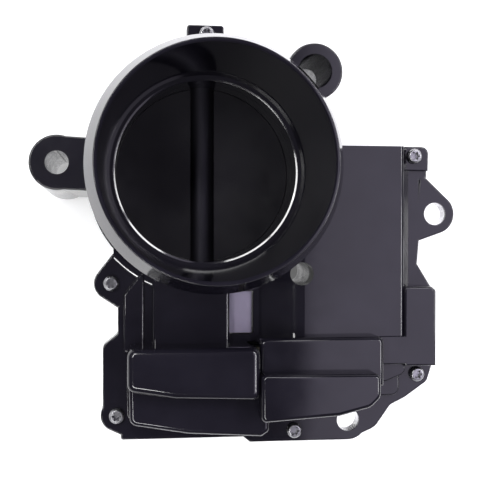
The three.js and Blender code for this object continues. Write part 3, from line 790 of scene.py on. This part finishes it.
def front_housing():
    blocks = [
        slab(rounded(outline, least=edge + 0.2), FRONT_Z0, top, edge, foot)
        for outline, top, edge, foot in BLOCKS
    ]
    outside = union(
        [
            inlet_tube(),
            *flange_slabs(FRONT_Z0, FLANGE_TOP, 0.45),
            collar(),
            *blocks,
            raised_along_y(rounded(MOTOR_ROOF, steps=12), *MOTOR_ROOF_Y),
        ]
    )
    low = SPLIT_Z - 1
    gear_space = rounded(
        [
            (-21.6, -74.9),
            (-6, -77.4),
            (14, -78.6),
            (14, -71),
            (40, -70.4),
            (50, -66.6),
            (50, -55.2),
            (-21.6, -55.2),
        ]
    )
    hole = SLEEVE_R + GAP
    tools = [
        inlet_bore(),
        slab(rounded(HOLLOW, 1), low, FLANGE_TOP - WALL, 0.0),
        slab(gear_space, low, 53.5, 0.0),
        block(48, 60, -64.4, -53.4, low, 47.8),
        block(48, 59.6, -68.4, -60, low, 45.8),
        block(-21.8, 13, -66.4, -55.2, low, SECTOR_TOP - WALL),
        block(17.4, 47, -70, -62.4, low, IDLER_TOP - WALL),
        block(13, 48, -66, -53, low, SHOULDER_TOP - WALL),
        raised_along_y(motor_arch(), -57, 5),
        slab(rectangle(*GAP_SLOT, 0.8), 30, 70, 0.0),
        rod(at(*SCREWS[2]), TAB_TOP, 60, SCREW_HEAD_R + 0.8),
    ]
    for centre in (BOSS_LOWER_RIGHT, LUG_RIGHT, LUG_BOTTOM):
        tools.append(rod(at(*centre), 30, FLANGE_TOP - SLEEVE_LIP, hole))
        tools.append(rod(at(*centre), 40, 80, BOLT_HOLE_R))
    tools += [rod(at(*c), 30, 60, SCREW_R + GAP, sides=32) for c in SCREWS]
    return cut(outside, tools)


# ---- Rear body


def bolt_ear(centre, top_r, base_r):
    x, y = centre
    reach = math.hypot(x, y)
    half = base_r - 1.2
    web = block(BORE_R + 1, reach, -half, half, 0, EAR_TOP, 0.6)
    web.data.transform(Matrix.Rotation(math.atan2(y, x), 4, "Z"))
    return [rod(at(x, y), 0, EAR_TOP, base_r, top_r, 0.6), web]


def seam_slab(out, z0, z1):
    """The hollow at the joint, with its outline moved outwards."""
    edge = moved_out([Vector(p) for p in HOLLOW], out)
    return slab(rounded([tuple(p) for p in edge], 1.5), z0, z1, 0.0)


def rear_body():
    motor_floor = MOTOR[1] - MOTOR_R - MOTOR_CLEARANCE - TRAY_WALL
    ears = union(
        [
            *bolt_ear(EAR_LEFT, EAR_R, EAR_BASE_R),
            *bolt_ear(EAR_UPPER_RIGHT, UPPER_EAR_R, UPPER_EAR_BASE_R),
        ]
    )
    cut(ears, [rod(at(0, 0), REAR_Z1, EAR_TOP + 1, TUBE_R + GAP, sides=ROUND)])
    tray_outside = moved_out([Vector(p) for p in TRAY], TRAY_WALL)
    shaft = along_y((0, SHAFT_Z))
    outside = union(
        [
            rod(at(0, 0), 0, REAR_Z1, BORE_R + BORE_WALL, sides=ROUND),
            rod(at(0, 0), 0, 7, 38, edge=0.8, sides=ROUND),
            ears,
            rod(at(*BOSS_LOWER_RIGHT), 0, REAR_Z1, 6.6, edge=0.5),
            block(20, 27, -30, -22, 0, REAR_Z1),
            *flange_slabs(FLANGE_BOTTOM, REAR_Z1, 0.0, under=0.5),
            slab(rounded([tuple(p) for p in tray_outside], 2), 3, REAR_Z1, 0.0, under=1.2),
            slab(rectangle(36.2, 65, -56, 7.4, 1.6), motor_floor, REAR_Z1, 0.0, under=1.2),
            slab(rectangle(-16.6, 7.4, -54, -24, 1.2), 12, REAR_Z1, 0.0, under=1.0),
            rod(shaft, -54, -26, SPRING_CHAMBER_R + SPRING_CHAMBER_WALL),
            raised_along_y([Vector(p) for p in GAP_WALL], -54, -26),
            rod(shaft, 24, 42, 10.6, edge=0.6),
            block(-TOP_EAR_HALF, TOP_EAR_HALF, 26, 41, SHAFT_Z, REAR_Z1),
            *[rod(at(*c), 31, REAR_Z1, 2.9, edge=0.3, sides=48) for c in SCREWS],
        ]
    )
    groove = cut(
        seam_slab(1.9, SPLIT_Z - 1.6, SPLIT_Z + 1), [seam_slab(0.5, SPLIT_Z - 2, SPLIT_Z + 2)]
    )
    hole = SLEEVE_R + GAP
    tools = [
        rod(at(0, 0), -1, EAR_TOP, BORE_R, sides=ROUND),
        rod(along_y(MOTOR), -57, 5, MOTOR_R + MOTOR_CLEARANCE),
        block(*MOTOR_WELL_X, -57, 5, MOTOR[1], SPLIT_Z + 1),
        slab(rounded(TRAY, 1.5), 3 + TRAY_WALL, SPLIT_Z + 1, 0.0),
        groove,
        ring(at(0, 0), -1, 2.6, 34.8, 32.2, sides=ROUND),
        raised_along_y([Vector(p) for p in GAP_PROFILE], *GAP_SLOT[2:]),
        rod(shaft, -60, 41, SHAFT_R + GAP),
        rod(shaft, 30.2, 43, 8.3),
        rod(shaft, -60, -33.8, LOWER_BEARING_R + GAP),
        rod(shaft, -60, -42, SPRING_CHAMBER_R),
        rod(along_y(IDLER), -72.4, -53.8, 2.3, sides=48),
        rod(at(*EAR_LEFT), -1, EAR_TOP - SLEEVE_LIP, hole),
        rod(at(*EAR_LEFT), 40, 60, BOLT_HOLE_R),
        rod(at(*EAR_UPPER_RIGHT), -1, DEEP_SLEEVE_TOP + GAP, hole),
        rod(at(*EAR_UPPER_RIGHT), DEEP_SLEEVE_TOP, EAR_TOP + 0.1, BOLT_HOLE_R, RECESS_R),
        rod(at(*BOSS_LOWER_RIGHT), BOSS_SLEEVE_BOTTOM - GAP, 60, hole),
        rod(at(*BOSS_LOWER_RIGHT), -1, BOSS_SLEEVE_BOTTOM + 1, 5.4),
        *[rod(at(*c), 30, 60, hole) for c in (LUG_RIGHT, LUG_BOTTOM)],
        *[rod(at(*c), 33, 60, SCREW_R + GAP, sides=32) for c in SCREWS],
    ]
    return cut(outside, tools)


# ---- Throttle, sleeves and screws


def throttle_plate():
    half = PLATE_THICKNESS / 2
    disc = rod(at(0, 0), SHAFT_Z - half, SHAFT_Z + half, PLATE_R, edge=0.12, sides=ROUND)
    return cut(disc, [rod(at(0, y), 0, 60, 1.8, sides=48) for y in PLATE_SCREW_Y])


def throttle_shaft():
    bar = rod(along_y((0, SHAFT_Z)), -69.5, 39, SHAFT_R, edge=0.4)
    side, half = SHAFT_R + 1, PLATE_SLOT / 2
    reach = PLATE_SLOT_REACH
    tools = [block(-side, side, -reach, reach, SHAFT_Z - half, SHAFT_Z + half)]
    tools += [rod(at(0, y), 0, SHAFT_Z + 2, 1.8, sides=48) for y in PLATE_SCREW_Y]
    return cut(bar, tools)


def six_lobes(centre, middle, swing, z0, z1):
    """A six-lobed socket, whose radius swings about its middle value."""
    cx, cy = centre
    points = []
    sides = 72
    for i in range(sides):
        a = 2 * math.pi * i / sides
        r = middle + swing * math.cos(6 * a)
        points.append(Vector((cx + r * math.cos(a), cy + r * math.sin(a))))
    return slab(points, z0, z1, 0.0)


def housing_screw(centre, seat):
    top = seat + SCREW_HEAD_HEIGHT
    low = seat + GAP
    corners = [
        (0, 34),
        (SCREW_R, 34, 0.4),
        (SCREW_R, low, 0.0),
        (SCREW_HEAD_R, low, 0.15),
        (SCREW_HEAD_R, seat + 1.25, 0.5),
        (SCREW_HEAD_R - 0.55, top, 0.35),
        (0, top),
    ]
    screw = lathe([tuple(p) for p in rounded(corners)], 64, at(*centre))
    return cut(screw, [six_lobes(centre, 1.25, 0.28, top - 1.45, top + 1)])


def bolt_sleeve(centre, z0, z1):
    sleeve = ring(at(*centre), z0, z1, SLEEVE_R, BOLT_HOLE_R, edge=0.35)
    x, y = centre
    return cut(sleeve, [block(x - 0.12, x + 0.12, y + 2, y + 8, z0 - 1, z1 + 1)])


def connector_socket():
    x0, x1, y0, y1, z0, z1 = 65.4, 73.2, -60.4, -36.9, 12, 39.9
    wall = 1.4
    shell = slab(rectangle(x0, x1, y0, y1, 1.4), z0, z1, 0.4, under=0.4)
    inside = slab(
        rectangle(x0 + wall, x1 - wall, y0 + wall, y1 - wall, 0.8), z0 - 1, 38, 0.0
    )
    latch = slab(rectangle(x1 - 0.2, x1 + 0.8, -51.5, -45.8, 0.2), 16, 22, 0.2, under=0.2)
    return union([cut(shell, [inside]), latch])


place_piece(
    "front_housing_shell", front_housing(), "body", ["front_housing"], HOUSING
)
place_piece("rear_body_shell", rear_body(), "body", ["rear_body"], REAR)
place_piece(
    "throttle_disc", throttle_plate(), "throttle", ["throttle_plate"], PLATE
)
place_piece(
    "throttle_spindle",
    throttle_shaft(),
    "throttle",
    ["throttle_shaft"],
    SHAFT_PAINTED_SHADE,
)
place_piece(
    "connector_shell", connector_socket(), "body", ["connector_socket"], CONNECTOR
)
LIP_AND_GAP = SLEEVE_LIP + GAP
SLEEVE_END = FLANGE_TOP - LIP_AND_GAP
SLEEVES = [
    ("left", "sleeve_left", EAR_LEFT, 0, EAR_TOP - LIP_AND_GAP),
    ("upper_right", "sleeve_upper_right", EAR_UPPER_RIGHT, 0, DEEP_SLEEVE_TOP),
    ("lower_right", "sleeve_lower_right", BOSS_LOWER_RIGHT, BOSS_SLEEVE_BOTTOM, SLEEVE_END),
    ("lug_right", "lug_sleeve_right", LUG_RIGHT, FLANGE_BOTTOM, SLEEVE_END),
    ("lug_bottom", "lug_sleeve_bottom", LUG_BOTTOM, FLANGE_BOTTOM, SLEEVE_END),
]
for place, node, centre, z0, z1 in SLEEVES:
    made = bolt_sleeve(centre, z0, z1)
    place_piece(f"bolt_sleeve_{place}", made, "body", [node], SLEEVE)
for i, centre in enumerate(SCREWS):
    made = housing_screw(centre, TAB_TOP if i == 2 else FLANGE_TOP)
    node = f"housing_screw_{i + 1}"
    place_piece(f"six_lobe_screw_{i + 1}", made, "body", [node], SCREW)

# ---- Materials of the CAD nodes that stay

FINISHES = {
    "housing_gasket": RUBBER,
    "manifold_seal": RUBBER,
    "shaft_seal_upper": RUBBER,
    "shaft_seal_lower": RUBBER,
    "plate_screw_1": SCREW,
    "plate_screw_2": SCREW,
    "sector_gear": NYLON,
    "idler_gear": NYLON,
    "spring_bush": NYLON,
    "sensor_magnet": MAGNET,
    "motor_magnet_left": MAGNET,
    "motor_magnet_right": MAGNET,
    "shaft_bearing_upper": MOTOR_STEEL,
    "shaft_bearing_lower": MOTOR_STEEL,
    "shaft_end_plug": MOTOR_STEEL,
    "idler_pin": MOTOR_STEEL,
    "motor_can": MOTOR_STEEL,
    "motor_armature": MOTOR_STEEL,
    "motor_shaft": MOTOR_STEEL,
    "motor_end_cap": CONNECTOR,
    "motor_pinion": BRASS,
    "return_spring": SPRING,
    "spring_stop": STOP_PAINTED_REFLECTION,
    "sensor_board": BOARD,
    **{f"connector_terminal_{i}": BRASS for i in range(1, 7)},
}
for node, material in FINISHES.items():
    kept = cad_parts[node]
    kept.data.materials.clear()
    kept.data.materials.append(material)

# ---- Floor, light and camera


FLOOR_Z = -0.0006


def floor():
    bm = bmesh.new()
    half, radius = 3.0, 0.4
    outline = rounded([(-half, -half), (half, -half), (half, half), (-half, half)], radius)
    bm.faces.new([bm.verts.new((p.x, p.y, FLOOR_Z)) for p in outline])
    made = new_object("floor", bm)
    n = Nodes("floor_pale")
    n.colour(n.noise(3, 2), (0.74, 0.74, 0.75), (0.78, 0.78, 0.78))
    n.set(Roughness=0.8, Emission_Color=(1.0, 1.0, 1.0, 1.0), Emission_Strength=0.38)
    made.data.materials.append(n.material)


def soft_light(name, place, aim, width, depth, radiance, tint=(1, 1, 1)):
    """A plain area light in metres that faces a point, or straight down."""
    light = bpy.data.lights.new(name, "AREA")
    light.shape = "RECTANGLE"
    light.size = width
    light.size_y = depth
    light.energy = radiance * math.pi * width * depth
    light.color = tint
    made = bpy.data.objects.new(name, light)
    bpy.context.scene.collection.objects.link(made)
    made.location = place
    if aim:
        direction = Vector(aim) - Vector(place)
        made.rotation_euler = direction.to_track_quat("-Z", "Y").to_euler()


floor()
BORE_MIDDLE = Vector((BORE.x, BORE.y, BORE_TOP * MM))
BANK_TINT = (0.86, 0.80, 1.0)
soft_light("right_bank", (0.6475, 0.20, 0.90), None, 0.925, 1.15, 1.5, BANK_TINT)
soft_light("left_bank", (-0.25, 0.30, 0.90), None, 0.70, 0.80, 0.06, BANK_TINT)

# Eight strips round the bore, which the chamfer of its step mirrors as two thin arcs.
STRIP_HEIGHT = 0.85
STRIPS = [
    (-0.18, 0.57),
    (-0.41, 0.36),
    (-0.50, 0.12),
    (-0.38, -0.34),
    (-0.18, -0.51),
    (0.73, -0.10),
    (0.71, 0.24),
    (0.49, 0.54),
]
for i, (x, y) in enumerate(STRIPS):
    soft_light(f"rim_strip_{i + 1}", (x, y, STRIP_HEIGHT), BORE_MIDDLE, 0.30, 0.10, 26)
soft_light("top_strip", (-0.10, 0.95, 0.85), BORE_MIDDLE, 0.8, 0.16, 8)

world = bpy.data.worlds.new("studio")
world.use_nodes = True
world.node_tree.nodes["Background"].inputs["Color"].default_value = (0.86, 0.82, 1.0, 1)
world.node_tree.nodes["Background"].inputs["Strength"].default_value = 0.10
bpy.context.scene.world = world
bpy.context.scene.view_settings.view_transform = "Standard"

CAMERA_PLACE = (-36.951 * MM, -0.483 * MM, 328 * MM)
CAMERA_RIGHT = Vector((0.992429, 0.000539, 0.122819))
CAMERA_UP = Vector((0, 0.99999, -0.004386))
CAMERA_BACK = Vector((-0.12282, 0.004353, 0.992419))
camera = bpy.data.objects.new("camera", bpy.data.cameras.new("camera"))
bpy.context.scene.collection.objects.link(camera)
turn = Matrix((CAMERA_RIGHT, CAMERA_UP, CAMERA_BACK)).transposed().to_4x4()
camera.matrix_world = Matrix.Translation(CAMERA_PLACE) @ turn
camera.data.sensor_width = 36
camera.data.lens = 67.875
camera.data.clip_start = 0.01
bpy.context.scene.camera = camera
